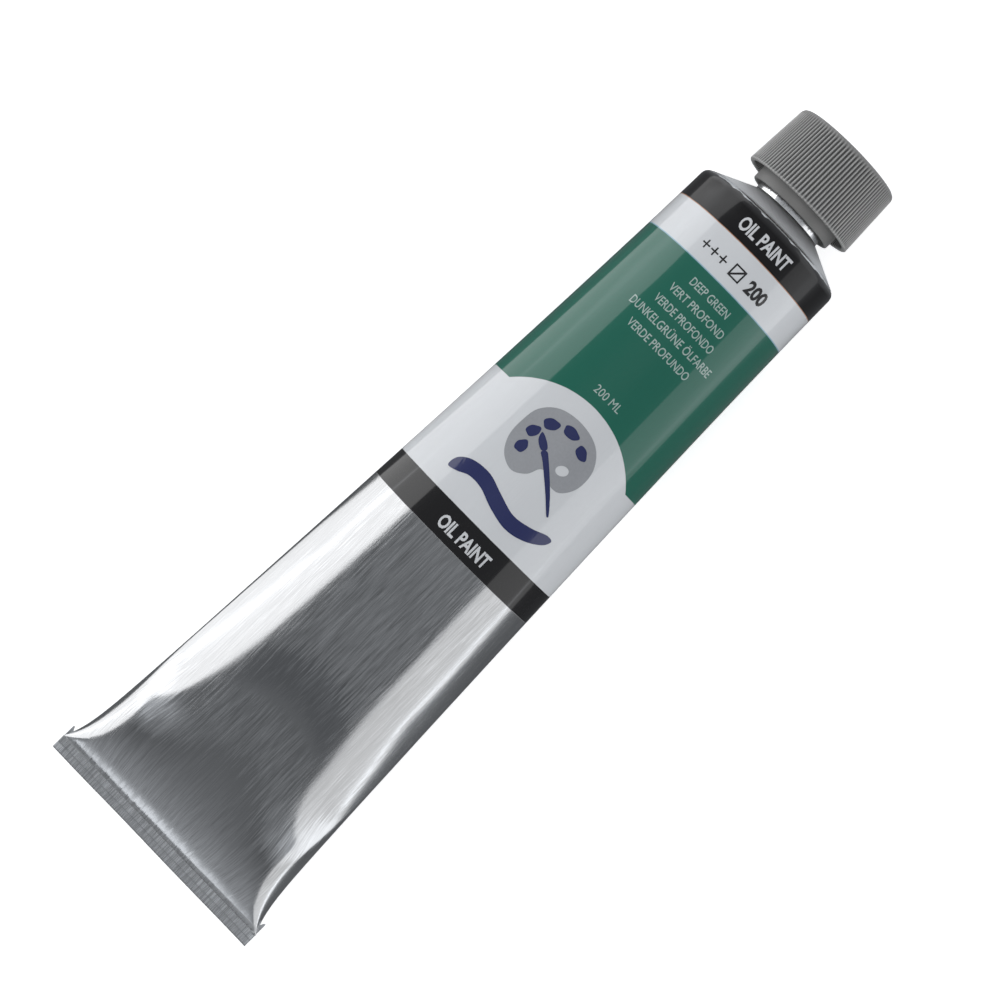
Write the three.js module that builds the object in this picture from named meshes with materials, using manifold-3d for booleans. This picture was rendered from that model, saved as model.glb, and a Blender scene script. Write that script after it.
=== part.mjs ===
// A 200 ml collapsible aluminium paint tube, lying on its belly with its cap on, in millimetres.
// +X runs along the tube to the cap, +Z is up, and the origin is under the middle of the tube.
// Everything is first built along the tube's axis from the tail's edge at x = 0, and moved at the end.
import * as THREE from 'three';
import { mergeVertices } from 'three/addons/utils/BufferGeometryUtils.js';
import Module from 'manifold-3d';

const wasm = await Module();
wasm.setup();

// Tube body: one piece of thin aluminium, drawn round and then pressed flat and folded at the tail
const tubeRadius = 20;
const bodyLength = 189.4; // from the fold's top to the shoulder's edge
const wall = 0.15;
const shoulderWall = 0.6;
const shoulderAngle = THREE.MathUtils.degToRad(25.7); // the cone's rise from square across
const shoulderFillet = 1.2;

// Pressed tail
const tailSpread = 0.42; // how much wider than round the body is at the tail, as a share of the radius
const spreadPower = 1.3;
const tailSag = 0.4; // how much shallower than round it is there
const sagPower = 1.6;
const flareSpread = 0.118; // the last flare into the fold's corners
const flareLength = 3.8;
const closeLength = 7.6; // over which the two sides close on the fold
const closePower = 1.1;
const edgeShare = 0.1; // roundness of the side edges at the tail, as a share of the depth

// Fold that shuts the tail
const foldHeight = 3.3;
const foldPlies = 6;
const sealFilm = 0.3;
const creaseDepth = 0.12;
const creaseWidth = 0.3;
const earRise = 2.9; // from the fold's top to the tip of the pinched corner
const earWidth = 3.2;
const sealantHeight = 3;

// Neck and its thread
const neckRadius = 9.2;
const neckLength = 16.1;
const neckWall = 1.3;
const threadPitch = 3;
const threadDepth = 0.8;
const threadBase = 1.5;
const threadCrest = 0.6;
const threadRoot = 0.3; // how far a ridge is sunk in the wall that carries it
const neckThreadStart = 2.6; // above the base of the neck
const neckThreadEnd = 0.9; // bare below the mouth, at least

// Cap: ribbed outer skirt, longer threaded inner skirt, top plate and sealing wad
const clearance = 0.3;
const linerThickness = 1.4;
const capPlate = 1.8;
const capTaper = 0.75; // wider at the rim than at the top, on the radius
const capEdgeFillet = 1.8;
const outerSkirtWall = 1.3;
const innerSkirtWall = 0.9;
const skirtPocket = 1.55; // gap between the two skirts at the top
const innerSkirtGap = 0.8; // from the neck's base to the inner skirt's lip
const skirtStep = 2.9; // from the inner skirt's lip up to the outer rim
const lipFillet = 0.35;
const ribCount = 100;
const ribDepth = 0.3;
const ribShare = 0.68; // ridge width as a share of the pitch
const ribInset = 0.08; // of the ridges under the plain lip and the top's collar
const ribBacking = 0.2; // of wall behind the grooves, that the ring and the skirt share
const plainLip = 0.9;
const collarHeight = 0.3;

// Fineness of the facets
const tubeSides = 36;
const capSides = 48;
const bodyStations = 17;
const threadSteps = 16;

const shoulderX = foldHeight + bodyLength;
const coneX = (r) => shoulderX + (tubeRadius - r) * Math.tan(shoulderAngle);
const innerConeX = (r) => coneX(r) - shoulderWall / Math.cos(shoulderAngle);
const neckBaseX = coneX(neckRadius);
const mouthX = neckBaseX + neckLength;
const boreRadius = neckRadius - neckWall;
const linerX = mouthX + clearance;
const plateX = linerX + linerThickness + clearance;
const capTopX = plateX + capPlate;
const innerLipX = neckBaseX + innerSkirtGap;
const rimX = innerLipX + skirtStep;
const foldThickness = foldPlies * wall + sealFilm;
const threadRadius = neckRadius + threadDepth;
const threadTurns = Math.floor((neckLength - neckThreadStart - neckThreadEnd) / threadPitch);
const capBoreRadius = threadRadius + clearance;
const capTopRadius = capBoreRadius + innerSkirtWall + skirtPocket + outerSkirtWall;
const capRimRadius = capTopRadius + capTaper;

const aluminium = { color: 0xb9bdc2, roughness: 0.32, metalness: 1 };
const greyPlastic = { color: 0x85888a, roughness: 0.6, metalness: 0 };

function solidOf(geometry) {
  geometry.deleteAttribute('normal');
  geometry.deleteAttribute('uv');
  const merged = mergeVertices(geometry, 1e-4);
  return new wasm.Manifold(new wasm.Mesh({
    numProp: 3,
    vertProperties: merged.attributes.position.array,
    triVerts: new Uint32Array(merged.index.array),
  }));
}

function meshOf(name, solid, finish) {
  const { vertProperties, triVerts } = solid.getMesh();
  const geometry = new THREE.BufferGeometry();
  geometry.setAttribute('position', new THREE.BufferAttribute(vertProperties, 3));
  geometry.setIndex(new THREE.BufferAttribute(triVerts, 1));
  geometry.computeVertexNormals();
  const mesh = new THREE.Mesh(geometry, new THREE.MeshStandardMaterial(finish));
  mesh.name = name;
  return mesh;
}

// Joins corners given as [x, radius, fillet] into one outline, rounding those that have a fillet.
function outline(corners) {
  const points = corners.map(([x, r]) => new THREE.Vector2(r, x));
  const path = new THREE.Path();
  path.moveTo(points[0].x, points[0].y);
  for (let i = 1; i < points.length; i += 1) {
    const corner = points[i];
    const fillet = corners[i][2] ?? 0;
    if (fillet > 0) {
      const before = corner.clone().sub(points[i - 1]).setLength(fillet);
      const after = points[i + 1].clone().sub(corner).setLength(fillet);
      path.lineTo(corner.x - before.x, corner.y - before.y);
      path.quadraticCurveTo(corner.x, corner.y, corner.x + after.x, corner.y + after.y);
    } else {
      path.lineTo(corner.x, corner.y);
    }
  }
  return path.getPoints(3);
}

// Turns an outline of [x, radius, fillet] corners about the tube's axis.
function turned(corners, sides) {
  return new THREE.LatheGeometry(outline(corners), sides).rotateZ(-Math.PI / 2);
}

// The pressed section at x: wide front and back arcs that meet in rounded side edges.
function section(x) {
  const above = Math.max(x - foldHeight, 0);
  const share = Math.min(above / bodyLength, 1);
  const spread = tailSpread * (1 - share) ** spreadPower;
  const halfWidth = tubeRadius * (1 + spread + flareSpread * Math.exp(-above / flareLength));
  const closing = (tubeRadius * (1 - tailSag) - foldThickness / 2)
    * Math.exp(-((above / closeLength) ** closePower));
  const halfDepth = tubeRadius * (1 - tailSag * (1 - share) ** sagPower) - closing;
  const leastEdge = wall + clearance + 0.05;
  const edge = leastEdge + (halfDepth - leastEdge) * (edgeShare + (1 - edgeShare) * share ** 2);
  const arcAngle = 2 * Math.atan((halfDepth - edge) / (halfWidth - edge));
  const arcRadius = edge + (halfWidth - edge) / Math.sin(arcAngle);
  return { halfWidth, halfDepth, edge, arcAngle, arcRadius };
}

// Where a point of the round tube, at this angle from the top and this far inside its skin, is pressed to.
function pressedPoint(x, angle, inside) {
  const { halfWidth, halfDepth, edge, arcAngle, arcRadius } = section(x);
  const quarter = Math.PI / 2;
  const turn = Math.abs(angle) > quarter ? Math.PI - Math.abs(angle) : Math.abs(angle);
  const along = (turn / quarter) * (arcRadius * arcAngle + edge * (quarter - arcAngle));
  const overEdge = along - arcRadius * arcAngle;
  const onArc = overEdge <= 0;
  const lean = onArc ? along / arcRadius : arcAngle + overEdge / edge;
  const radius = (onArc ? arcRadius : edge) - inside;
  const side = radius * Math.sin(lean) + (onArc ? 0 : halfWidth - edge);
  const rise = radius * Math.cos(lean) + (onArc ? halfDepth - arcRadius : 0);
  return [side * Math.sign(angle), rise * (Math.abs(angle) > quarter ? -1 : 1)];
}

// Presses a turned shape from round to the tube's flattened form, from the shoulder to the tail.
function pressed(geometry) {
  const place = geometry.attributes.position;
  for (let i = 0; i < place.count; i += 1) {
    const x = place.getX(i);
    const radius = Math.hypot(place.getY(i), place.getZ(i));
    if (x < shoulderX && radius > 1e-6) {
      const angle = Math.atan2(place.getY(i), place.getZ(i));
      const [y, z] = pressedPoint(x, angle, tubeRadius - radius);
      place.setXYZ(i, x, y, z);
    }
  }
  return geometry;
}

// Stations along the body between two places, close together near the tail.
function stations(from, to, count) {
  const start = Math.sqrt(Math.max(from - foldHeight, 0));
  const end = Math.sqrt(to - foldHeight);
  return Array.from({ length: count + 1 }, (_, i) => foldHeight + (start + ((end - start) * i) / count) ** 2);
}

// A helical ridge on a wall of this radius, standing outwards (1) or inwards (-1).
function threadRidge(radius, facing, startX, turns) {
  const ridge = new THREE.Shape([
    new THREE.Vector2(-threadBase / 2, -threadRoot),
    new THREE.Vector2(threadBase / 2, -threadRoot),
    new THREE.Vector2(threadCrest / 2, threadDepth),
    new THREE.Vector2(-threadCrest / 2, threadDepth),
  ]);
  const steps = threadSteps * turns;
  const bar = new THREE.ExtrudeGeometry(ridge, { depth: 1, steps, bevelEnabled: false });
  const place = bar.attributes.position;
  for (let i = 0; i < place.count; i += 1) {
    const share = place.getZ(i);
    const angle = share * turns * 2 * Math.PI;
    const r = radius + facing * place.getY(i);
    const x = startX + place.getX(i) * facing + share * turns * threadPitch;
    place.setXYZ(i, x, -r * Math.sin(angle), r * Math.cos(angle));
  }
  return solidOf(bar);
}

// Aluminium tube: pressed body with shoulder, neck and thread, hollow throughout and folded shut at the tail
function makeTube() {
  const tailX = foldHeight - 0.5;
  const outerStations = stations(foldHeight, shoulderX - shoulderFillet, bodyStations);
  const outside = solidOf(pressed(turned([
    [tailX, 0],
    [tailX, tubeRadius],
    ...outerStations.map((x) => [x, tubeRadius]),
    [shoulderX, tubeRadius, shoulderFillet * 0.9],
    [neckBaseX, neckRadius, 0.5],
    [mouthX, neckRadius, 0.3],
    [mouthX, 0],
  ], tubeSides)));
  const innerStations = stations(foldHeight, innerConeX(tubeRadius - wall), bodyStations);
  const cavity = solidOf(pressed(turned([
    [foldHeight, 0],
    ...innerStations.map((x) => [x, tubeRadius - wall]),
    [innerConeX(boreRadius), boreRadius],
    [mouthX + 1, boreRadius],
    [mouthX + 1, 0],
  ], tubeSides)));
  const thread = threadRidge(neckRadius, 1, neckBaseX + neckThreadStart, threadTurns);
  let tube = outside.add(thread);
  for (const side of [1, -1]) tube = tube.add(makeEar(side));
  return tube.subtract(cavity).add(makeFold());
}

// The flattened end, turned over twice into a bar with a crease along its middle
function makeFold() {
  const width = 2 * section(foldHeight).halfWidth;
  const half = foldThickness / 2;
  const round = half * 0.6;
  const middle = foldHeight / 2;
  const bar = new THREE.Shape();
  bar.moveTo(round, -half);
  bar.lineTo(middle - creaseWidth / 2, -half);
  bar.lineTo(middle, -half + creaseDepth);
  bar.lineTo(middle + creaseWidth / 2, -half);
  bar.lineTo(foldHeight, -half);
  bar.lineTo(foldHeight, half);
  bar.lineTo(middle + creaseWidth / 2, half);
  bar.lineTo(middle, half - creaseDepth);
  bar.lineTo(middle - creaseWidth / 2, half);
  bar.lineTo(round, half);
  bar.quadraticCurveTo(0, half, 0, 0);
  bar.quadraticCurveTo(0, -half, round, -half);
  const shape = { depth: width, bevelEnabled: false, curveSegments: 4 };
  return solidOf(new THREE.ExtrudeGeometry(bar, shape).rotateX(Math.PI / 2).translate(0, width / 2, 0));
}

// The pinched corner that stands beside the fold on one side
function makeEar(side) {
  const edgeY = section(foldHeight).halfWidth;
  const baseX = foldHeight - 0.6;
  const corner = [[baseX, edgeY - earWidth], [baseX, edgeY], [foldHeight + earRise, edgeY]];
  const outlined = new THREE.Shape(corner.map(([x, y]) => new THREE.Vector2(x, side * y)));
  const thickness = 4 * wall;
  const plate = new THREE.ExtrudeGeometry(outlined, { depth: thickness, bevelEnabled: false });
  return solidOf(plate.translate(0, 0, -thickness / 2));
}

// A solid that fills the pressed body between two places, clear of its wall
function bodyFill(from, to, count, top) {
  const radius = tubeRadius - wall - clearance;
  return solidOf(pressed(turned([
    [from, 0],
    ...stations(from, to, count).map((x) => [x, radius]),
    ...top,
  ], tubeSides)));
}

// Seam sealant squeezed into the wedge above the fold
function makeSealant() {
  const from = foldHeight + 0.7;
  const to = foldHeight + sealantHeight;
  return bodyFill(from, to, 3, [[to, 0]]);
}

// Paint, up to the base of the neck
function makePaint() {
  const from = foldHeight + sealantHeight + clearance;
  const back = clearance / Math.cos(shoulderAngle);
  const edgeX = innerConeX(tubeRadius - wall - clearance) - back;
  const surfaceRadius = boreRadius - clearance;
  const surfaceX = innerConeX(surfaceRadius) - back;
  return bodyFill(from, edgeX, bodyStations - 4, [[surfaceX, surfaceRadius], [surfaceX, 0]]);
}

// Cap: plate and skirts turned as one, the ribs as a ribbed ring on the outer skirt, and the inner thread
function makeCap() {
  const backing = ribInset + ribDepth + ribBacking;
  const collarX = capTopX - capEdgeFillet - collarHeight;
  const pocketRadius = capTopRadius - outerSkirtWall;
  const body = solidOf(turned([
    [plateX, 0],
    [plateX, capBoreRadius],
    [innerLipX, capBoreRadius, lipFillet],
    [innerLipX, capBoreRadius + innerSkirtWall, lipFillet],
    [plateX, capBoreRadius + innerSkirtWall],
    [plateX, pocketRadius],
    [rimX, capRimRadius - outerSkirtWall, lipFillet],
    [rimX, capRimRadius, lipFillet],
    [rimX + plainLip, capRimRadius],
    [rimX + plainLip, capRimRadius - backing],
    [collarX, capTopRadius - backing],
    [collarX, capTopRadius],
    [capTopX, capTopRadius, capEdgeFillet],
    [capTopX, 0],
  ], capSides));
  const threadStart = neckBaseX + neckThreadStart + threadPitch / 2; // midway between the neck's ridges
  const thread = threadRidge(capBoreRadius, -1, threadStart, threadTurns - 1);
  return body.add(makeRibs(rimX + plainLip / 2, collarX + collarHeight / 2)).add(thread);
}

// The ribbed ring: ridges with narrow grooves between them, closing in towards the cap's top
function makeRibs(fromX, toX) {
  const pitch = (2 * Math.PI) / ribCount;
  const ridgeEnd = ribShare * pitch;
  const grooveMiddle = (ridgeEnd + pitch) / 2;
  const grooveRadius = 1 - ribDepth / capRimRadius;
  const corners = [];
  for (let i = 0; i < ribCount; i += 1) {
    for (const [turn, r] of [[0, 1], [ridgeEnd, 1], [grooveMiddle, grooveRadius]]) {
      const angle = i * pitch + turn;
      corners.push(new THREE.Vector2(r * Math.cos(angle), r * Math.sin(angle)));
    }
  }
  const ring = new THREE.Shape(corners);
  const hollow = 1 - (outerSkirtWall * 0.7) / capRimRadius;
  ring.holes.push(new THREE.Path().absarc(0, 0, hollow, 0, 2 * Math.PI, true));
  const shape = { depth: toX - fromX, bevelEnabled: false, curveSegments: capSides / 2 };
  const geometry = new THREE.ExtrudeGeometry(ring, shape).rotateY(Math.PI / 2).translate(fromX, 0, 0);
  const place = geometry.attributes.position;
  for (let i = 0; i < place.count; i += 1) {
    const share = (place.getX(i) - fromX) / (toX - fromX);
    const radius = THREE.MathUtils.lerp(capRimRadius, capTopRadius, share) - ribInset;
    place.setXYZ(i, place.getX(i), place.getY(i) * radius, place.getZ(i) * radius);
  }
  return solidOf(geometry);
}

// Sealing wad between the cap's plate and the mouth of the neck
function makeLiner() {
  return solidOf(turned([
    [linerX, 0],
    [linerX, capBoreRadius - clearance],
    [linerX + linerThickness, capBoreRadius - clearance],
    [linerX + linerThickness, 0],
  ], tubeSides));
}

const tube = new THREE.Group();
tube.add(
  meshOf('tube_body', makeTube(), aluminium),
  meshOf('tail_sealant', makeSealant(), { color: 0xd9d2c0, roughness: 0.5, metalness: 0 }),
  meshOf('paint_fill', makePaint(), { color: 0x06563f, roughness: 0.35, metalness: 0 }),
  meshOf('cap', makeCap(), greyPlastic),
  meshOf('cap_liner', makeLiner(), { color: 0xe8e6df, roughness: 0.7, metalness: 0 }),
);
tube.position.set(-capTopX / 2, 0, tubeRadius);

const part = new THREE.Group();
part.add(tube);

export default part;
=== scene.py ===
# A large aluminium paint tube, lying print up: folded tail, threaded neck and ribbed screw cap
import math
import bmesh
import bpy
from mathutils import Matrix, Vector

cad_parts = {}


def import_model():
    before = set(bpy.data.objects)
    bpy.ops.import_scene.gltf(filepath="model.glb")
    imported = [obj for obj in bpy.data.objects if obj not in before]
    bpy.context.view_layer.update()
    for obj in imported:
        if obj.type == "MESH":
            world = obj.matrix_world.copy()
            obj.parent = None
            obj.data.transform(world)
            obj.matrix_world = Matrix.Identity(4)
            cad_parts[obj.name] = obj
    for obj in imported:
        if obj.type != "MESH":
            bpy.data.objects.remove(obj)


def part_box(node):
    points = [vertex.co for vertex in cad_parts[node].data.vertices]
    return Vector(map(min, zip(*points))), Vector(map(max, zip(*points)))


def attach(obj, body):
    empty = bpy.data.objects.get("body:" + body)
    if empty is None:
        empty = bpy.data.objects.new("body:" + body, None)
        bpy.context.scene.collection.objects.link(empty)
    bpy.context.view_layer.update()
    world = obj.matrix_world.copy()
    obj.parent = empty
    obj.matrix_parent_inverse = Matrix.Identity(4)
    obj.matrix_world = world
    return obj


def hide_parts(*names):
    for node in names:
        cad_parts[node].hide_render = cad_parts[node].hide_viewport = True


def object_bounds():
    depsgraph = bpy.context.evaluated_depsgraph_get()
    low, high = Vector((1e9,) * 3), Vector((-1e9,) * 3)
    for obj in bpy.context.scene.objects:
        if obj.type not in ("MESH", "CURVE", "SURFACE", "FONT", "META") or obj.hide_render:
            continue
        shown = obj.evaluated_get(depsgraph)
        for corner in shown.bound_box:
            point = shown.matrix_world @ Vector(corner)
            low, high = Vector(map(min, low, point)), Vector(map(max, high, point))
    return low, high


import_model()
cadLow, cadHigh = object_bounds()
print("frame loaded")

# Each piece is shaped in millimetres from the tail's edge, about the tube's axis, then moved into the frame
mm = 0.001
tailX = cadLow.x
axisZ = (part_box("cap")[0].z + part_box("cap")[1].z) / 2
intoFrame = Matrix.Translation((tailX, 0, axisZ)) @ Matrix.Scale(mm, 4)
capBottomX = (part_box("cap")[0].x - tailX) / mm
capTopX = (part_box("cap")[1].x - tailX) / mm
mouthX = (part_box("tube_body")[1].x - tailX) / mm

tubeForm = {
    "radius": 20.0,
    "bodyLength": 189.4,  # from the fold's top to the shoulder's edge
    "foldHeight": 3.3,
    "wall": 0.15,
    "spread": 0.42,  # wider than round at the tail
    "spreadPower": 1.3,
    "sag": 0.4,  # shallower than round at the tail
    "sagPower": 1.6,
    "flare": 0.118,
    "flareLength": 4.8,
    "closeLength": 9.5,
    "closePower": 1.1,
    "tailHalf": 0.45,
    "leastEdge": 0.2,
    "edgeShare": 0.12,
    "tailEdgeShare": 0.81,  # the faces are flat with round edges beside the fold
    "tailEdgeLength": 25.0,
    "skew": 0.015,  # the tail was cut and folded a little out of square
    "skewReach": 28.0,
}
shoulderX = tubeForm["foldHeight"] + tubeForm["bodyLength"]

# Dents: place along and around the body in mm, depth, and how far each spreads along and around
dents = [
    {"x": 39.5, "w": 0.0, "depth": 0.75, "along": (15.0, 9.0), "around": 17.0},
    {"x": 28.0, "w": 16.5, "depth": 0.22, "along": (3.5, 4.5), "around": 2.6},
    {"x": 33.5, "w": 19.5, "depth": -0.12, "along": (5.0, 5.0), "around": 3.0},
    {"x": 76.0, "w": 25.0, "depth": 0.12, "along": (5.0, 8.0), "around": 3.0},
    {"x": 60.0, "w": -26.0, "depth": 0.14, "along": (8.0, 8.0), "around": 4.0},
    {"x": 18.0, "w": -6.0, "depth": 0.1, "along": (5.0, 5.0), "around": 9.0},
    {"x": 190.8, "w": 17.6, "depth": 0.4, "along": (1.5, 1.5), "around": 2.1},
    {"x": 191.4, "w": 12.2, "depth": 0.24, "along": (1.1, 1.1), "around": 2.4},
    {"x": 190.2, "w": 7.6, "depth": 0.12, "along": (1.6, 1.6), "around": 2.2},
    {"x": 186.5, "w": 20.5, "depth": 0.12, "along": (3.0, 3.0), "around": 2.6},
    {"x": 168.0, "w": 14.0, "depth": 0.06, "along": (5.0, 5.0), "around": 4.0},
    {"x": 120.0, "w": -21.0, "depth": 0.08, "along": (14.0, 14.0), "around": 4.0},
    {"x": 85.0, "w": 50.0, "depth": 0.5, "along": (16.0, 16.0), "around": 9.0},
    {"x": 150.0, "w": -58.0, "depth": 0.35, "along": (12.0, 12.0), "around": 7.0},
    {"x": 40.0, "w": 60.0, "depth": 0.4, "along": (10.0, 10.0), "around": 12.0},
]


def sectionAt(x):
    form = tubeForm
    above = max(x - form["foldHeight"], 0.0)
    share = min(above / form["bodyLength"], 1.0)
    radius = form["radius"]
    halfWidth = radius * (1 + form["spread"] * (1 - share) ** form["spreadPower"]
                          + form["flare"] * math.exp(-above / form["flareLength"]))
    closing = math.exp(-((above / form["closeLength"]) ** form["closePower"]))
    closing *= radius * (1 - form["sag"]) - form["tailHalf"]
    halfDepth = radius * (1 - form["sag"] * (1 - share) ** form["sagPower"]) - closing
    roundness = form["edgeShare"] + (1 - form["edgeShare"]) * share ** 2
    roundness += form["tailEdgeShare"] * math.exp(-((above / form["tailEdgeLength"]) ** 4))
    edge = form["leastEdge"] + (halfDepth - form["leastEdge"]) * roundness
    arcAngle = 2 * math.atan((halfDepth - edge) / (halfWidth - edge))
    arcRadius = edge + (halfWidth - edge) / math.sin(arcAngle)
    return halfWidth, halfDepth, edge, arcAngle, arcRadius


def dentAt(x, w):
    depth = 0.0
    for dent in dents:
        reach = dent["along"][0 if x < dent["x"] else 1]
        away = ((x - dent["x"]) / reach) ** 2 + ((w - dent["w"]) / dent["around"]) ** 2
        if away < 9:
            depth += dent["depth"] * math.exp(-away)
    return depth


def skewed(x, y):
    reach = max(0.0, 1 - x / tubeForm["skewReach"])
    return x + tubeForm["skew"] * y * reach * reach * (3 - 2 * reach)


def skinAt(x, turn, inside=0.0):
    # a point of the round tube, at this turn from the top and this far inside its skin, after pressing
    radius = tubeForm["radius"]
    inside += dentAt(x, turn * radius)
    if x >= shoulderX:
        return Vector((x, (radius - inside) * math.sin(turn), (radius - inside) * math.cos(turn)))
    halfWidth, halfDepth, edge, arcAngle, arcRadius = sectionAt(x)
    quarter = math.pi / 2
    bent = math.pi - abs(turn) if abs(turn) > quarter else abs(turn)
    along = bent / quarter * (arcRadius * arcAngle + edge * (quarter - arcAngle))
    overEdge = along - arcRadius * arcAngle
    if overEdge <= 0:
        lean = along / arcRadius
        side = (arcRadius - inside) * math.sin(lean)
        rise = (arcRadius - inside) * math.cos(lean) + halfDepth - arcRadius
    else:
        lean = arcAngle + overEdge / edge
        side = (edge - inside) * math.sin(lean) + halfWidth - edge
        rise = (edge - inside) * math.cos(lean)
    y = math.copysign(side, turn)
    return Vector((skewed(x, y), y, -rise if abs(turn) > quarter else rise))


def newObject(name, bm, smooth=True, merge=0.0):
    if merge > 0:
        bmesh.ops.remove_doubles(bm, verts=bm.verts, dist=merge)
    bmesh.ops.recalc_face_normals(bm, faces=bm.faces)
    bmesh.ops.transform(bm, matrix=intoFrame, verts=bm.verts)
    mesh = bpy.data.meshes.new(name)
    bm.to_mesh(mesh)
    bm.free()
    for face in mesh.polygons:
        face.use_smooth = smooth
    thing = bpy.data.objects.new(name, mesh)
    bpy.context.scene.collection.objects.link(thing)
    return thing


def rounded(corners):
    # corners are (x, r, fillet); a fillet becomes a short curve
    points = []
    for i, corner in enumerate(corners):
        x, r, fillet = (*corner, 0)[:3]
        if fillet and 0 < i < len(corners) - 1:
            here = Vector((x, r))
            back = (Vector(corners[i - 1][:2]) - here).normalized() * fillet
            on = (Vector(corners[i + 1][:2]) - here).normalized() * fillet
            for step in range(5):
                t = step / 4
                points.append(here + back * (1 - t) ** 2 + on * t ** 2)
        else:
            points.append(Vector((x, r)))
    return [(p.x, p.y) for p in points]


def between(start, end, count, power=1.0):
    return [start + (end - start) * (i / count) ** power for i in range(count + 1)]


def spun(points, steps, closed=False):
    bm = bmesh.new()
    verts = [bm.verts.new((x, 0, r)) for x, r in points]
    edges = [bm.edges.new(pair) for pair in zip(verts, verts[1:])]
    if closed:
        edges.append(bm.edges.new((verts[-1], verts[0])))
    bmesh.ops.spin(bm, geom=verts + edges, cent=(0, 0, 0), axis=(1, 0, 0), angle=2 * math.pi,
                   steps=steps, use_merge=True, use_duplicate=False)
    bmesh.ops.remove_doubles(bm, verts=bm.verts, dist=1e-5)
    return bm


def threadRise(x, turn, thread):
    # height of a helical ridge at a place on a wall, eased in and out at its ends
    turns = (x - thread["start"]) / thread["pitch"] - turn / (2 * math.pi)
    nearest = round(turns)
    runs = nearest + turn / (2 * math.pi)
    if runs < -0.6 or runs > thread["turns"] + 0.1:
        return 0.0
    off = abs(turns - nearest) * thread["pitch"]
    slope = (thread["base"] / 2 - off) / ((thread["base"] - thread["crest"]) / 2)
    slope = min(max(slope, 0.0), 1.0)
    ease = min(max((runs + 0.15) / 0.25, 0.0), 1.0) * min(max((thread["turns"] - runs) / 0.3, 0.0), 1.0)
    return thread["depth"] * slope * slope * (3 - 2 * slope) * ease


neckForm = {
    "radius": 9.2,
    "bore": 7.9,
    "coneSlope": math.tan(math.radians(25.7)),
    "shoulderWall": 0.66,
    "steps": 240,
}
neckBaseX = shoulderX + (tubeForm["radius"] - neckForm["radius"]) * neckForm["coneSlope"]
neckThread = {"start": neckBaseX + 2.6, "pitch": 3.0, "turns": 4, "depth": 0.8, "base": 1.5, "crest": 0.6}


def crowded(turn):
    # moves the steps round the tube towards its two sides, where it is bent most
    return turn + 0.3 * math.sin(2 * turn)


def makeTube():
    # outer skin from the tail to the mouth, then back down the bore and the inside of the wall
    radius, wall = tubeForm["radius"], tubeForm["wall"]
    baseX, neck, bore = neckBaseX, neckForm["radius"], neckForm["bore"]
    corner = tubeForm["foldHeight"]
    tail = corner - 0.4
    outside = [(x, radius) for x in (tail, corner - 0.1, corner - 0.02, corner + 0.02, corner + 0.1)]
    outside += [(x, radius) for x in between(corner + 0.25, shoulderX - 1.3, 120, 1.7)]
    shoulder = rounded([(shoulderX - 1.3, radius), (shoulderX, radius, 1.25), (baseX, neck, 0.25),
                        (baseX + 1.4, neck)])
    neckPart = [(x, neck) for x in between(baseX + 1.5, mouthX - 0.5, 84)]
    lip = rounded([(mouthX - 0.45, neck), (mouthX, neck, 0.4), (mouthX, bore, 0.4), (mouthX - 1, bore)])
    innerBase = baseX - neckForm["shoulderWall"] + (neck - bore) * neckForm["coneSlope"]
    innerEdge = shoulderX - neckForm["shoulderWall"]
    inside = [(innerBase, bore), (innerEdge, radius - wall)]
    inside += [(x, radius - wall) for x in reversed(between(tail, innerEdge - 1, 26, 1.6))]
    bm = spun(outside + shoulder[1:] + neckPart + lip + inside, neckForm["steps"], closed=True)
    drawn = bm.verts.layers.float_vector.new("drawn")
    for vert in bm.verts:
        x, turn = vert.co.x, math.atan2(vert.co.y, vert.co.z)
        r = math.hypot(vert.co.y, vert.co.z)
        if x < shoulderX + 1.2:
            turn += (crowded(turn) - turn) * min(max((shoulderX - 20 - x) / 60, 0.0), 1.0)
        vert[drawn] = Vector((x, r * math.sin(turn), r * math.cos(turn)))
        if x < shoulderX + 1.2 and r > radius - 2.2:
            vert.co = skinAt(x, turn, radius - r)
        elif abs(r - neck) < 0.01 and x > baseX + 1.4:
            grown = r + threadRise(x, turn, neckThread)
            vert.co = Vector((x, grown * math.sin(turn), grown * math.cos(turn)))
    return newObject("tube_metal", bm)


foldForm = {
    "ply": 0.36,  # two walls pressed together
    "steps": 120,
    "earRise": 3.2,
    "earWidth": 2.0,
    "earThick": 0.5,
    # the pressed walls from the side: down the front, round the edge, up the back and in again, as (x, z)
    "roll": [(3.46, 0.38), (3.46, 0.50), (3.4, 0.53), (1.75, 0.74), (1.65, 0.72), (1.45, 0.53), (0.1, 0.68),
             (-0.15, 0.6), (-0.22, 0.4), (-0.22, -0.25), (-0.17, -0.38), (0.1, -0.43), (1.6, -0.41),
             (2.95, -0.43), (3.2, -0.38), (3.26, -0.25), (3.15, -0.1), (2.8, -0.03), (0.7, 0.0)],
}


def layFlat(bm):
    # the place of each point on the tube before it was pressed, which the drawn streaks follow
    drawn = bm.verts.layers.float_vector.new("drawn")
    for vert in bm.verts:
        vert[drawn] = Vector((vert.co.x, vert.co.y, tubeForm["radius"] * (1 if vert.co.z > 0 else -1)))


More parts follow.
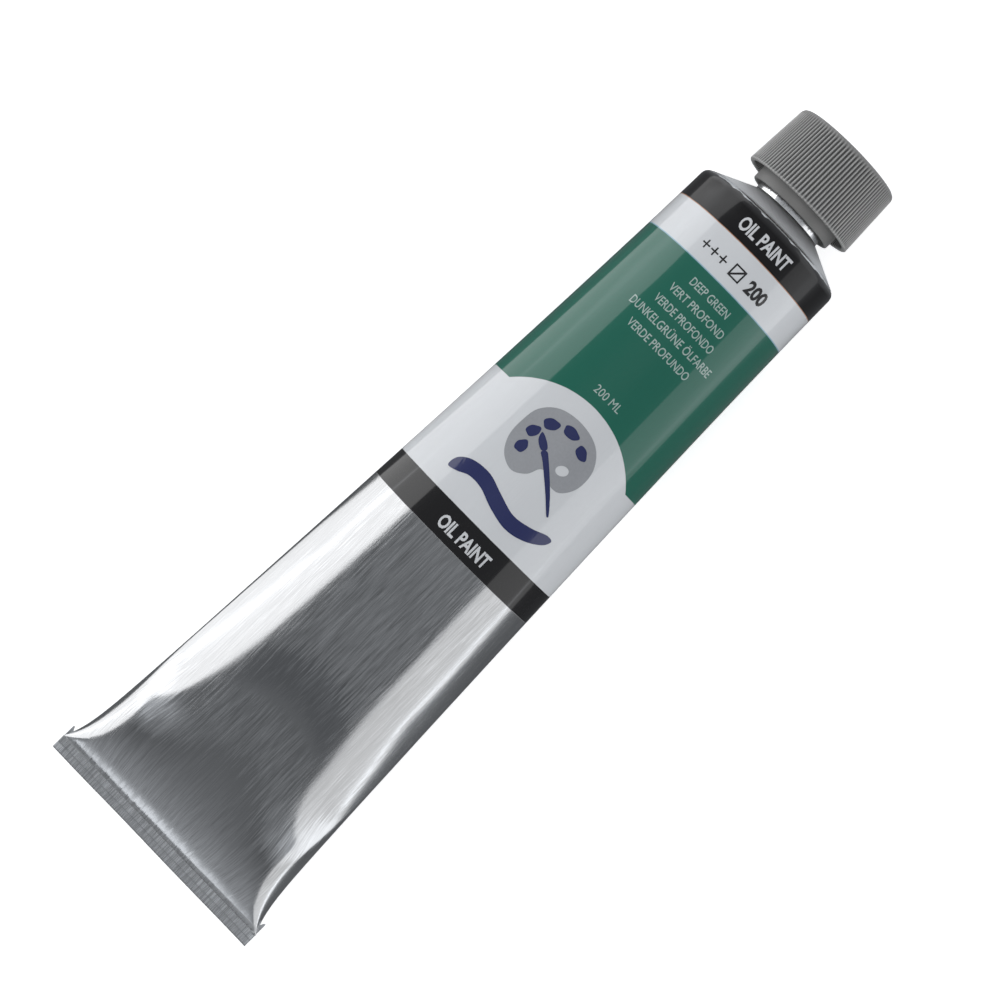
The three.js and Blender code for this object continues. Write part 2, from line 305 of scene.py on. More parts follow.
def makeFold():
    # the pressed walls' outline drawn out across the tail, nipped at both ends, then given its thickness
    form = foldForm
    halfWidth = sectionAt(0)[0] - 0.05
    bm = bmesh.new()
    verts = [bm.verts.new((x, -halfWidth, z)) for x, z in form["roll"]]
    edges = [bm.edges.new(pair) for pair in zip(verts, verts[1:])]
    across = 2 * halfWidth / form["steps"]
    for _ in range(form["steps"]):
        grown = bmesh.ops.extrude_edge_only(bm, edges=edges)["geom"]
        edges = [g for g in grown if isinstance(g, bmesh.types.BMEdge)]
        fresh = [g for g in grown if isinstance(g, bmesh.types.BMVert)]
        bmesh.ops.translate(bm, verts=fresh, vec=(0, across, 0))
    for vert in bm.verts:
        x, y, z = vert.co
        wave = 0.022 * math.sin(y * 0.33 + 1) + 0.012 * math.sin(y * 1.1) + 0.01 * math.sin(y * 2.3 + x)
        fromEnd = (halfWidth - abs(y)) / 2.2
        nip = math.exp(-fromEnd ** 2)
        pull = 0.09 * nip * math.sin(x * 2.6 + (1 if y > 0 else 2.2))
        vert.co = Vector((skewed(x, y) + 0.03 * math.sin(y * 0.21), y, z * (1 - 0.18 * nip) + wave + pull))
    bmesh.ops.recalc_face_normals(bm, faces=bm.faces)
    bmesh.ops.solidify(bm, geom=bm.faces, thickness=form["ply"])
    layFlat(bm)
    return newObject("tail_fold", bm, smooth=False)


def makeEar(side):
    # the corner pinched flat beside the fold, with a small point at its top
    form = foldForm
    edge = sectionAt(0)[0]
    top = tubeForm["foldHeight"]
    tip = top + form["earRise"]
    outline = [(1.0, edge - form["earWidth"]), (1.0, edge - 0.08), (tip - 0.2, edge - 0.1),
               (tip, edge - 0.22), (tip - 0.3, edge - 0.55), (tip - 1.1, edge - 0.95),
               (top + 0.6, edge - 1.5), (top, edge - 2.0)]
    bm = bmesh.new()
    flat = bm.faces.new([bm.verts.new((x, side * y, -form["earThick"] / 2)) for x, y in outline])
    grown = bmesh.ops.extrude_face_region(bm, geom=[flat])["geom"]
    fresh = [g for g in grown if isinstance(g, bmesh.types.BMVert)]
    bmesh.ops.translate(bm, verts=fresh, vec=(0, 0, form["earThick"]))
    for vert in bm.verts:
        vert.co.x = skewed(vert.co.x, vert.co.y)
    bmesh.ops.bevel(bm, geom=bm.edges[:], offset=0.08, affect="EDGES", segments=2, profile=0.5, material=-1)
    layFlat(bm)
    return newObject("tail_corner_" + ("left" if side > 0 else "right"), bm)


capForm = {
    "ribs": 100,
    "perRib": 6,
    "ribDepth": 0.42,
    "rimRadius": 14.8,
    "topRadius": 14.05,
    "skirtStep": 2.9,
    "outerWall": 1.25,
    "innerRadius": 11.2,
    "lipBack": 0.5,
    "boreRadius": 10.3,
    "plate": 1.8,
    "topFillet": 1.5,
    "ribStart": 0.5,  # plain lip below the ribs
}
capThread = {**neckThread, "start": neckThread["start"] + 1.5, "turns": 3}


def makeCap():
    form = capForm
    rimX = capBottomX + form["skirtStep"]
    ceiling = capTopX - form["plate"]
    pocket = form["topRadius"] - form["outerWall"]
    rimInner = form["rimRadius"] - form["outerWall"]
    corners = [(ceiling, 0.001), (ceiling, form["boreRadius"])]
    lipX = capBottomX + form["lipBack"]
    corners += [(x, form["boreRadius"]) for x in between(ceiling - 0.4, lipX + 1.1, 46)]
    corners += rounded([(lipX + 1.0, form["boreRadius"]), (lipX, form["boreRadius"] + 0.1, 0.3),
                        (lipX, form["innerRadius"], 0.35), (lipX + 1, form["innerRadius"] + 0.02)])
    corners += [(ceiling, form["innerRadius"] + 0.25), (ceiling, pocket)]
    corners += rounded([(rimX + 2, rimInner - 0.05), (rimX, rimInner, 0.45), (rimX, form["rimRadius"], 0.4),
                        (rimX + form["ribStart"], form["rimRadius"])])
    taper = (form["topRadius"] - form["rimRadius"]) / (capTopX - form["topFillet"] - rimX)
    skirt = between(rimX + form["ribStart"], capTopX - 1.7, 12)
    corners += [(x, form["rimRadius"] + taper * (x - rimX)) for x in skirt]
    corners += rounded([(capTopX - 1.55, form["topRadius"] + 0.01),
                        (capTopX, form["topRadius"], form["topFillet"]), (capTopX, 8.0)])
    corners += [(capTopX - 0.02, 4.0), (capTopX - 0.03, 0.001)]
    bm = spun(corners, form["ribs"] * form["perRib"])
    for vert in bm.verts:
        x, turn = vert.co.x, math.atan2(vert.co.y, vert.co.z)
        r = math.hypot(vert.co.y, vert.co.z)
        if r > pocket + 0.6 and x > rimX + 0.1:
            wave = 0.5 - 0.5 * math.cos(turn * form["ribs"])
            eased = min(max((x - rimX - 0.1) / 0.6, 0), 1) * min(max((capTopX - 0.35 - x) / 1.2, 0), 1)
            grown = r - form["ribDepth"] * (1 - wave ** 0.8) * eased
        elif abs(r - form["boreRadius"]) < 0.01 and x < ceiling - 0.3:
            grown = r - threadRise(x, turn, capThread)
        else:
            continue
        vert.co = Vector((x, grown * math.sin(turn), grown * math.cos(turn)))
    return newObject("ribbed_cap", bm, merge=0.002)


def makeLiner():
    low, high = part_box("cap_liner")
    x, radius = (low.x - tailX) / mm, (high.y - low.y) / 2 / mm
    thick = (high.x - low.x) / mm
    corners = [(x + 0.12, 0.001), (x + 0.12, 7.4), (x, 8.0, 0.1), (x, 9.6), (x, radius, 0.25),
               (x + thick, radius, 0.25), (x + thick, 0.001)]
    return newObject("sealing_wad", spun(rounded(corners), 96), merge=0.002)


def makePaint():
    # fills the body just inside its wall, with a small peak left in the neck
    radius = tubeForm["radius"] - tubeForm["wall"] - 0.3
    low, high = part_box("paint_fill")
    startX, endX = (low.x - tailX) / mm, (high.x - tailX) / mm
    edgeX = shoulderX - 1.1
    points = [(startX, 0.001)] + [(x, radius) for x in between(startX, edgeX, 40, 1.5)]
    points += rounded([(edgeX, radius), (endX - 0.6, neckForm["bore"] - 0.3, 0.6), (endX, 6.4, 0.6),
                       (endX + 0.3, 3.6)])
    points += [(endX + 0.8, 2.0), (endX + 1.7, 0.8), (endX + 2.3, 0.001)]
    bm = spun(points, 96)
    for vert in bm.verts:
        x, turn = vert.co.x, math.atan2(vert.co.y, vert.co.z)
        r = math.hypot(vert.co.y, vert.co.z)
        if x < edgeX - 0.01 and r > radius - 0.01:
            vert.co = skinAt(x, turn, tubeForm["radius"] - r)
    return newObject("green_paint", bm, merge=0.002)


tubeMetal = makeTube()
tailFold = makeFold()
tailCorners = [makeEar(1), makeEar(-1)]
print("tube, fold and corners made")
ribbedCap = makeCap()
sealingWad = makeLiner()
greenPaint = makePaint()
print("cap, wad and paint made")

# The printed label is laid out along the tube in mm from the tail; marks are thin layers of ink on the skin
labelPlan = {
    "lowBand": (94.0, 101.8),
    "archStart": 129.5,
    "archRise": 8.2,
    "archRadius": 23.9,
    "archMiddle": -0.55,
    "greenEnd": 175.7,
    "topBand": (185.0, 192.85),
    "inkHeight": 0.015,
    "lift": 0.02,
    "blueLift": 0.05,  # the blue ink lies over the grey
}
printGroups = {}


def wrapMark(bm, x, w, colour, lift=labelPlan["lift"]):
    # lay flat artwork (x to the right, y towards the cap) on the skin and keep it with its colour
    size = [max(abs(v.co[axis]) for v in bm.verts) for axis in (0, 1)]
    for axis, step in ((0, 1.0), (1, 2.0)):
        normal = Vector((1, 0, 0)) if axis == 0 else Vector((0, 1, 0))
        reach = int(size[axis] / step) + 1
        for i in range(-reach, reach + 1):
            bmesh.ops.bisect_plane(bm, geom=bm.verts[:] + bm.edges[:] + bm.faces[:], dist=1e-5,
                                   plane_co=normal * i * step, plane_no=normal)
    radius = tubeForm["radius"]
    for vert in bm.verts:
        across, along, height = vert.co
        vert.co = skinAt(x + along, (w - across) / radius, -lift - height)
    printGroups.setdefault(colour, []).append(bm)


def thicken(bm):
    # flat faces become a closed layer of ink
    bmesh.ops.recalc_face_normals(bm, faces=bm.faces)
    grown = bmesh.ops.extrude_face_region(bm, geom=bm.faces[:])["geom"]
    fresh = [g for g in grown if isinstance(g, bmesh.types.BMVert)]
    bmesh.ops.translate(bm, verts=fresh, vec=(0, 0, labelPlan["inkHeight"]))
    return bm


def lettering(words, x, w, height, width, colour, weight=0.0):
    # a line of plain lettering, scaled to its height and width in mm
    font = bpy.data.curves.new(words, "FONT")
    font.body = words
    font.align_x = "CENTER"
    font.offset = weight
    font.resolution_u = 3
    line = bpy.data.objects.new(words, font)
    mesh = bpy.data.meshes.new_from_object(line)
    bpy.data.objects.remove(line)
    bm = bmesh.new()
    bm.from_mesh(mesh)
    bpy.data.meshes.remove(mesh)
    bmesh.ops.remove_doubles(bm, verts=bm.verts, dist=1e-4)
    low = [min(v.co[axis] for v in bm.verts) for axis in (0, 1)]
    high = [max(v.co[axis] for v in bm.verts) for axis in (0, 1)]
    top = high[1] if "Ü" not in words else high[1] * 0.8  # two dots stand above the capital
    for vert in bm.verts:
        vert.co.x = (vert.co.x - (low[0] + high[0]) / 2) * width / (high[0] - low[0])
        vert.co.y = vert.co.y * height / top - height / 2
        vert.co.z = 0
    wrapMark(thicken(bm), x, w, colour)


def outlineMark(points, x, w, colour, holes=()):
    # a filled outline with optional holes, all given as (across, along) in mm
    bm = bmesh.new()
    edges = []
    for loop in (points, *holes):
        verts = [bm.verts.new((px, py, 0)) for px, py in loop]
        edges += [bm.edges.new(pair) for pair in zip(verts, verts[1:] + verts[:1])]
    bmesh.ops.triangle_fill(bm, edges=edges, use_beauty=True, use_dissolve=False)
    wrapMark(thicken(bm), x, w, colour, labelPlan["blueLift" if colour == "blue" else "lift"])


def smoothLoop(points, steps=6):
    # a closed curve through the points
    out = []
    count = len(points)
    for i in range(count):
        p0, p1, p2, p3 = (Vector(points[(i + k) % count]) for k in (-1, 0, 1, 2))
        for s in range(steps):
            t = s / steps
            out.append(0.5 * (2 * p1 + (p2 - p0) * t + (2 * p0 - 5 * p1 + 4 * p2 - p3) * t ** 2
                              + (3 * p1 - p0 - 3 * p2 + p3) * t ** 3))
    return [tuple(p) for p in out]


def bar(cx, cy, length, thick):
    return [(cx + dx * length / 2, cy + dy * thick / 2) for dx, dy in ((-1, -1), (1, -1), (1, 1), (-1, 1))]


def blob(cx, cy, rx, ry, angle=0.0, wobble=0.0, count=28):
    turned = Matrix.Rotation(angle, 2)
    out = []
    for i in range(count):
        a = 2 * math.pi * i / count
        grow = 1 + wobble * math.sin(3 * a + 1) + wobble * 0.6 * math.sin(5 * a)
        onRim = Vector((rx * grow * math.cos(a), ry * grow * math.sin(a)))
        out.append(tuple(turned @ onRim + Vector((cx, cy))))
    return out


marks = {
    "bandWords": "OIL PAINT",
    "bandHeight": 3.2,
    "bandWidth": 14.6,
    "symbolX": 179.8,
    "symbolSize": 3.2,
    "shadeLines": [("DEEP GREEN", 172.0, 11.2), ("VERT PROFOND", 168.1, 16.2),
                   ("VERDE PROFONDO", 164.3, 17.6), ("DUNKELGRÜNE ÖLFARBE", 160.4, 25.2),
                   ("VERDE PROFUNDO", 156.5, 18.4)],
    "shadeHeight": 1.95,
    "volumeLine": ("200 ML", 141.2, 7.4),
    "emblemX": 123.8,
    "washX": 108.1,
}


def makeMarks():
    middle = -1.1
    for x in (97.6, 188.7):
        lettering(marks["bandWords"], x, middle, marks["bandHeight"], marks["bandWidth"], "white",
                  weight=0.03)
    for words, x, width in marks["shadeLines"]:
        lettering(words, x, middle, marks["shadeHeight"], width, "pale", weight=0.008)
    words, x, width = marks["volumeLine"]
    lettering(words, x, middle, marks["shadeHeight"], width, "pale")
    x, size = marks["symbolX"], marks["symbolSize"]
    for i in range(3):
        at = 8.0 - 2.55 * i
        cross = [bar(0, 0, 2.1, 0.36), bar(0, 0.64, 0.36, 0.92), bar(0, -0.64, 0.36, 0.92)]
        for part in cross:
            outlineMark(part, x, at, "black")
    half = size / 2
    frameOuter = [(-half, -half), (half, -half), (half, half), (-half, half)]
    edge, slit = half - 0.38, 0.32
    upper = [(-edge, slit - edge), (edge - slit, edge), (-edge, edge)]
    lower = [(slit - edge, -edge), (edge, -edge), (edge, edge - slit)]
    outlineMark(frameOuter, x, -1.4, "black", holes=[upper, lower])
    lettering("200", x, -7.6, 3.2, 5.7, "black", weight=0.04)
    # painter's palette with dabs and a brush
    board = [(-9.6, 0.6), (-8.8, 5.2), (-5.2, 8.6), (0.4, 9.6), (6.0, 8.2), (9.6, 4.2), (10.0, -0.8),
             (7.6, -4.4), (4.2, -4.6), (2.4, -3.2), (0.8, -3.8), (-0.4, -6.4), (-3.4, -8.2), (-7.0, -6.8),
             (-9.2, -3.4)]
    hole = blob(4.6, -0.6, 1.5, 1.15, 0.5)
    x = marks["emblemX"]
    outlineMark(smoothLoop(board, 5), x, -0.6, "grey", holes=[hole])
    for dab in ((-6.1, 1.2, 1.7, 1.25, 0.9), (-4.2, 4.9, 1.9, 1.3, 0.5), (0.2, 6.6, 2.0, 1.25, 0.0),
                (4.9, 5.0, 1.8, 1.2, -0.5), (-5.6, -2.9, 1.6, 1.3, 1.3)):
        outlineMark(blob(*dab, wobble=0.06), x, -0.6, "blue")
    # a brush lying across the palette's lower edge
    handle = [(-1.6, -0.9), (0.2, -2.2), (5.2, -6.3), (9.0, -9.6), (9.7, -9.9), (9.5, -9.2), (5.9, -5.5),
              (1.1, -1.2), (-0.7, 0.1)]
    outlineMark(smoothLoop(handle, 4), x, -0.6, "blue")
    bristle = [(-1.9, -0.6), (-1.0, 0.4), (-2.3, 1.6), (-4.4, 2.4), (-3.9, 0.6)]
    outlineMark(smoothLoop(bristle, 4), x, -0.6, "blue")
    # a brush stroke under it
    stroke = [(-14.2, 1.2), (-11.0, 3.2), (-6.0, 3.7), (-1.0, 2.2), (4.0, 0.9), (9.0, 1.7), (13.0, 3.0),
              (14.9, 2.6), (13.6, 0.6), (9.4, -1.6), (4.6, -2.5), (-0.6, -1.5), (-5.2, 0.1), (-9.0, 0.2),
              (-12.0, -1.0), (-14.6, -1.4)]
    outlineMark(smoothLoop(stroke, 5), marks["washX"], -0.6, "blue")


makeMarks()
prints = {}
for colour, parts in printGroups.items():
    whole = bmesh.new()
    for part in parts:
        mesh = bpy.data.meshes.new("part")
        part.to_mesh(mesh)
        part.free()
        whole.from_mesh(mesh)
        bpy.data.meshes.remove(mesh)
    prints[colour] = newObject("ink_" + colour, whole, smooth=False)
print("label marks made")


def joined(name, things):
    whole = bmesh.new()
    for thing in things:
        whole.from_mesh(thing.data)
        bpy.data.objects.remove(thing)
    mesh = bpy.data.meshes.new(name)
    whole.to_mesh(mesh)
    whole.free()
    one = bpy.data.objects.new(name, mesh)
    bpy.context.scene.collection.objects.link(one)
    return one


def makeSealant():
    low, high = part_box("tail_sealant")
    startX, endX = (low.x - tailX) / mm + 0.3, (high.x - tailX) / mm - 0.1
    inset = 0.36  # the wall and a small gap
    points = [(x, tubeForm["radius"] - inset) for x in between(startX, endX, 6)]
    bm = spun([(startX, 0.001), *points, (endX, 0.001)], 96)
    for vert in bm.verts:
        turn, r = math.atan2(vert.co.y, vert.co.z), math.hypot(vert.co.y, vert.co.z)
        if r > 1:
            vert.co = skinAt(vert.co.x, turn, inset)
    return newObject("tail_compound", bm, merge=0.002)


tubeShell = joined("tube_shell", [tubeMetal, tailFold, *tailCorners])
tailCompound = makeSealant()

# Helpers for the materials


def link(tree, source, target):
    tree.links.new(source, target)


def addNode(tree, kind, **settings):
    made = tree.nodes.new(kind)
    for key, value in settings.items():
        setattr(made, key, value)
    return made


def mathNode(tree, operation, a, b=None):
    made = addNode(tree, "ShaderNodeMath", operation=operation)
    for socket, value in zip(made.inputs, (a, b)):
        if value is None:
            continue
        if isinstance(value, (int, float)):
            socket.default_value = value
        else:
            link(tree, value, socket)
    return made.outputs[0]


def times(tree, first, *others):
    for other in others:
        first = mathNode(tree, "MULTIPLY", first, other)
    return first


def plus(tree, first, *others):
    for other in others:
        first = mathNode(tree, "ADD", first, other)
    return first


def minus(tree, a, b):
    return mathNode(tree, "SUBTRACT", a, b)


def mixColour(tree, factor, a, b, blend="MIX"):
    made = addNode(tree, "ShaderNodeMix", data_type="RGBA", blend_type=blend)
    for socket, value in ((made.inputs[0], factor), (made.inputs[6], a), (made.inputs[7], b)):
        if isinstance(value, (int, float)):
            socket.default_value = value
        elif isinstance(value, tuple):
            socket.default_value = (*value, 1)
        else:
            link(tree, value, socket)
    return made.outputs[2]


def remap(tree, value, low, high, toLow=0.0, toHigh=1.0):
    made = addNode(tree, "ShaderNodeMapRange")
    link(tree, value, made.inputs[0])
    for i, number in enumerate((low, high, toLow, toHigh)):
        made.inputs[i + 1].default_value = number
    return made.outputs[0]


def noise(tree, place, scale, stretch=(1, 1, 1), detail=3.0, roughness=0.5):
    mapping = addNode(tree, "ShaderNodeMapping")
    mapping.inputs["Scale"].default_value = stretch
    link(tree, place, mapping.inputs["Vector"])
    made = addNode(tree, "ShaderNodeTexNoise")
    link(tree, mapping.outputs[0], made.inputs["Vector"])
    made.inputs["Scale"].default_value = scale
    made.inputs["Detail"].default_value = detail
    made.inputs["Roughness"].default_value = roughness
    return made.outputs[0]


def newGroup(name, inputs, outputs):
    group = bpy.data.node_groups.new(name, "ShaderNodeTree")
    for label, kind, value in inputs:
        socket = group.interface.new_socket(label, in_out="INPUT", socket_type=kind)
        if value is not None:
            socket.default_value = value
    for label, kind in outputs:
        group.interface.new_socket(label, in_out="OUTPUT", socket_type=kind)
    return group, group.nodes.new("NodeGroupInput"), group.nodes.new("NodeGroupOutput")


streakScales = {
    "fine": (0.2, 5.2, 5.2),
    "broad": (0.09, 2.0, 2.0),
    "shifted": (0.06, 2.3, 2.3),
    "cloud": (0.03, 0.09, 0.09),
}


def drawnStreaksGroup():
    # fine lines drawn along the tube: a light-and-dark value, broad clouds and a normal tilted by the lines
    group, inside, out = newGroup("drawn streaks",
                                  [("Tilt", "NodeSocketFloat", 0.02), ("Side Tilt", "NodeSocketFloat", 0.01)],
                                  [("Streak", "NodeSocketFloat"), ("Cloud", "NodeSocketFloat"),
                                   ("Normal", "NodeSocketVector")])
    place = addNode(group, "ShaderNodeAttribute", attribute_name="drawn").outputs["Vector"]
    fine = noise(group, place, 1.0, streakScales["fine"], 3.0, 0.6)
    broad = noise(group, place, 1.0, streakScales["broad"], 2.0, 0.6)
    shifted = noise(group, place, 1.0, streakScales["shifted"], 1.0, 0.5)
    cloud = noise(group, place, 1.0, streakScales["cloud"], 2.0, 0.5)
    streak = plus(group, times(group, fine, 0.55), times(group, broad, 0.45))
    geometry = addNode(group, "ShaderNodeNewGeometry")
    lean = times(group, minus(group, streak, 0.5), inside.outputs["Tilt"])
    aside = times(group, minus(group, shifted, 0.5), inside.outputs["Side Tilt"])
    push = addNode(group, "ShaderNodeCombineXYZ")
    link(group, lean, push.inputs[0])
    link(group, aside, push.inputs[1])
    turned = addNode(group, "ShaderNodeVectorTransform", vector_type="VECTOR", convert_from="OBJECT",
                     convert_to="WORLD")
    link(group, push.outputs[0], turned.inputs[0])
    summed = addNode(group, "ShaderNodeVectorMath", operation="ADD")
    link(group, geometry.outputs["Normal"], summed.inputs[0])
    link(group, turned.outputs[0], summed.inputs[1])
    unit = addNode(group, "ShaderNodeVectorMath", operation="NORMALIZE")
    link(group, summed.outputs[0], unit.inputs[0])
    link(group, streak, out.inputs["Streak"])
    link(group, cloud, out.inputs["Cloud"])
    link(group, unit.outputs[0], out.inputs["Normal"])
    return group


def fineGrainGroup():
    # a fine moulded or poured surface: soft patches, small grain and the height for a bump
    group, inside, out = newGroup("fine grain",
                                  [("Grain Scale", "NodeSocketFloat", 2500.0),
                                   ("Patch Scale", "NodeSocketFloat", 120.0)],
                                  [("Grain", "NodeSocketFloat"), ("Patch", "NodeSocketFloat"),
                                   ("Height", "NodeSocketFloat")])
    place = addNode(group, "ShaderNodeTexCoord").outputs["Object"]
    found = []
    for label in ("Grain Scale", "Patch Scale"):
        made = addNode(group, "ShaderNodeTexNoise")
        link(group, place, made.inputs["Vector"])
        link(group, inside.outputs[label], made.inputs["Scale"])
        made.inputs["Detail"].default_value = 3
        found.append(made.outputs[0])
    link(group, found[0], out.inputs["Grain"])
    link(group, found[1], out.inputs["Patch"])
    height = plus(group, times(group, found[0], 0.7), times(group, found[1], 0.3))
    link(group, height, out.inputs["Height"])
    return group


drawnStreaks = drawnStreaksGroup()
fineGrain = fineGrainGroup()


def newMaterial(name):
    material = bpy.data.materials.new(name)
    material.use_nodes = True
    tree = material.node_tree
    return material, tree, tree.nodes["Principled BSDF"]


def placed(tree, group, **values):
    made = addNode(tree, "ShaderNodeGroup", node_tree=group)
    for key, value in values.items():
        made.inputs[key.replace("_", " ")].default_value = value
    return made


def bumped(tree, height, distance, strength=1.0, normal=None):
    made = addNode(tree, "ShaderNodeBump")
    made.inputs["Strength"].default_value = strength
    made.inputs["Distance"].default_value = distance
    link(tree, height, made.inputs["Height"])
    if normal is not None:
        link(tree, normal, made.inputs["Normal"])
    return made.outputs[0]


tubeFinish = {
    "metal": (0.80, 0.805, 0.815),
    "cone": (0.75, 0.75, 0.755),
    "neck": (0.93, 0.93, 0.93),
    # painted dark reflection, for the band across the front
    "paintedDarkBand": (0.42, 0.43, 0.45),
    "black": (0.003, 0.0025, 0.003),
    "white": (0.605, 0.62, 0.64),
    "green": (0.004, 0.108, 0.072),
    "blueLine": (0.25, 0.42, 0.52),
    "orangeLine": (0.42, 0.22, 0.13),
    "metalRoughness": 0.13,
    "cloudRoughness": 0.08,
    "streakRoughness": (-0.03, 0.09),
    "coneRoughness": 0.55,
    "pinchedRoughness": 0.3,  # added just above the fold
    "foldRoughness": 0.1,  # added on the fold itself
    "inkRoughness": 0.32,
    "inkSpecular": 0.15,
    "coatIor": 1.7,
    "coatRoughness": 0.07,
    "topCoatLoss": 0.5,  # the coat is thinner on the upper band
    "tilt": 0.5,
    "sideTilt": 0.014,
    "streakSpan": (0.36, 0.64),
    "bodyShade": (0.88, 1.05),
    "sheenStreakSpan": (0.39, 0.61),
    "sheenStreakShade": (0.7, 1.13),
    "sheenStreakAlong": (27, 15),  # where the stronger streaks fade in, in mm from the tail and from the middle; their raised contrast is painted reflection
    "sheenStreakAside": (28, 22),
    "foldSpan": (0.38, 0.62),
    # the fold's streaks, lifted brighter as painted light
    "foldStreakAndPaintedLight": (0.95, 1.22),
    "edgeWaver": 0.09,  # how far the print's edges wander, in mm
    "topWaver": 1.3,
    "grainBump": 0.00002,
}
paintedDarkBandPlan = {
    "start": (45, 48),  # where the painted dark reflection band fades in and out along the tube, in mm from the tail
    "end": (55, 58),
    "side": (10, 17),
    "bow": 0.035,
    "ragged": 26,
    "strength": 0.5,
}


def makeTubeMaterial():
    look = tubeFinish
    material, tree, shader = newMaterial("drawn aluminium with print")
    place = addNode(tree, "ShaderNodeTexCoord").outputs["Object"]
    split = addNode(tree, "ShaderNodeSeparateXYZ")
    link(tree, place, split.inputs[0])
    along = times(tree, minus(tree, split.outputs["X"], tailX), 1 / mm)
    across = times(tree, split.outputs["Y"], 1 / mm)
    toSide = mathNode(tree, "ABSOLUTE", across)
    front = mathNode(tree, "GREATER_THAN", minus(tree, split.outputs["Z"], axisZ), 0.0)
    waver = minus(tree, noise(tree, place, 1.0, (120, 260, 260), 2.0), 0.5)
    edgeX = plus(tree, along, times(tree, waver, look["edgeWaver"]))
    wavyX = plus(tree, along, times(tree, waver, look["topWaver"]))

    def after(value, x, soft=0.06):
        return remap(tree, value, x - soft, x + soft)

    def before(value, x, soft=0.06):
        return minus(tree, 1, after(value, x, soft))

    # streaks of the bare metal; near the pressed-flat tail their contrast is raised as painted reflection,
    # faded where the side light strips fall, and on the fold they are lifted as painted light
    streaks = placed(tree, drawnStreaks, Tilt=look["tilt"], Side_Tilt=look["sideTilt"])
    streak = streaks.outputs["Streak"]
    foldTop = tubeForm["foldHeight"]
    # painted reflection: streak contrast raised near the tail, kept off the sides where the light strips fall
    sheenStreakMask = times(tree, remap(tree, along, *look["sheenStreakAlong"]),
                    remap(tree, toSide, *look["sheenStreakAside"]), after(along, foldTop, 0.1))
    onFold = before(along, foldTop + 0.15, 0.1)
    shade = remap(tree, streak, *look["streakSpan"], *look["bodyShade"])
    shade = mixColour(tree, sheenStreakMask, shade, remap(tree, streak, *look["sheenStreakSpan"], *look["sheenStreakShade"]))
    # the fold's metal painted brighter than the body: painted light
    shade = mixColour(tree, onFold, shade, remap(tree, streak, *look["foldSpan"], *look["foldStreakAndPaintedLight"]))
    metal = mixColour(tree, 1.0, look["metal"], shade, "MULTIPLY")
    # a band painted darker across the front as painted dark reflection, ragged along the streaks
    bowed = plus(tree, along, times(tree, across, across, paintedDarkBandPlan["bow"]))
    ragged = plus(tree, bowed, times(tree, minus(tree, streak, 0.5), paintedDarkBandPlan["ragged"]))
    paintedDarkBand = times(tree, remap(tree, ragged, *paintedDarkBandPlan["start"]),
                    remap(tree, ragged, *reversed(paintedDarkBandPlan["end"])),
                    remap(tree, toSide, *reversed(paintedDarkBandPlan["side"])), front, paintedDarkBandPlan["strength"])
    metal = mixColour(tree, paintedDarkBand, metal, look["paintedDarkBand"])
    onCone = times(tree, after(along, shoulderX + 0.9, 0.3), before(along, neckBaseX - 0.2, 0.4))
    metal = mixColour(tree, onCone, metal, look["cone"])
    metal = mixColour(tree, after(along, neckBaseX - 0.4, 0.15), metal, look["neck"])
    # printed zones, from the lower black band up; the green starts on an arch over the emblem
    lowBand, topBand, greenEnd = labelPlan["lowBand"], labelPlan["topBand"], labelPlan["greenEnd"]
    offMiddle = minus(tree, across, labelPlan["archMiddle"])
    chord = minus(tree, labelPlan["archRadius"] ** 2, times(tree, offMiddle, offMiddle))
    arch = mathNode(tree, "SQRT", mathNode(tree, "MAXIMUM", chord, 0.0))
    arch = minus(tree, arch, labelPlan["archRadius"] - labelPlan["archRise"])
    archX = minus(tree, edgeX, times(tree, mathNode(tree, "MAXIMUM", arch, 0.0), front))
    colour = mixColour(tree, after(edgeX, lowBand[0]), metal, look["black"])
    colour = mixColour(tree, after(edgeX, lowBand[1]), colour, look["white"])
    colour = mixColour(tree, after(archX, labelPlan["archStart"]), colour, look["green"])
    colour = mixColour(tree, after(edgeX, greenEnd - 0.12), colour, look["blueLine"])
    colour = mixColour(tree, after(edgeX, greenEnd + 0.12), colour, look["white"])
    colour = mixColour(tree, after(edgeX, topBand[0] - 0.1), colour, look["orangeLine"])
    colour = mixColour(tree, after(edgeX, topBand[0] + 0.08), colour, look["black"])
    colour = mixColour(tree, after(wavyX, topBand[1]), colour, metal)
    link(tree, colour, shader.inputs["Base Color"])
    ink = times(tree, after(edgeX, lowBand[0]), before(wavyX, topBand[1]))
    link(tree, minus(tree, 1, ink), shader.inputs["Metallic"])
    coatLoss = times(tree, after(edgeX, topBand[0]), look["topCoatLoss"])
    link(tree, times(tree, ink, minus(tree, 1, coatLoss)), shader.inputs["Coat Weight"])
    shader.inputs["Coat IOR"].default_value = look["coatIor"]
    shader.inputs["Coat Roughness"].default_value = look["coatRoughness"]
    shader.inputs["Specular IOR Level"].default_value = look["inkSpecular"]
    # roughness of the bare metal, then of the ink
    bare = plus(tree, times(tree, minus(tree, streaks.outputs["Cloud"], 0.5), look["cloudRoughness"]),
                look["metalRoughness"], remap(tree, streak, *look["streakSpan"], *look["streakRoughness"]),
                times(tree, onCone, look["coneRoughness"] - look["metalRoughness"]),
                remap(tree, along, 4.5, 4.0, 0.0, look["pinchedRoughness"]),
                times(tree, onFold, look["foldRoughness"] - look["pinchedRoughness"]))
    rough = addNode(tree, "ShaderNodeMix")
    link(tree, ink, rough.inputs[0])
    link(tree, bare, rough.inputs[2])
    rough.inputs[3].default_value = look["inkRoughness"]
    link(tree, rough.outputs[0], shader.inputs["Roughness"])
    grain = placed(tree, fineGrain, Grain_Scale=1800.0, Patch_Scale=90.0)
    normal = bumped(tree, grain.outputs["Height"], look["grainBump"], 0.5, streaks.outputs["Normal"])
    link(tree, normal, shader.inputs["Normal"])
    return material


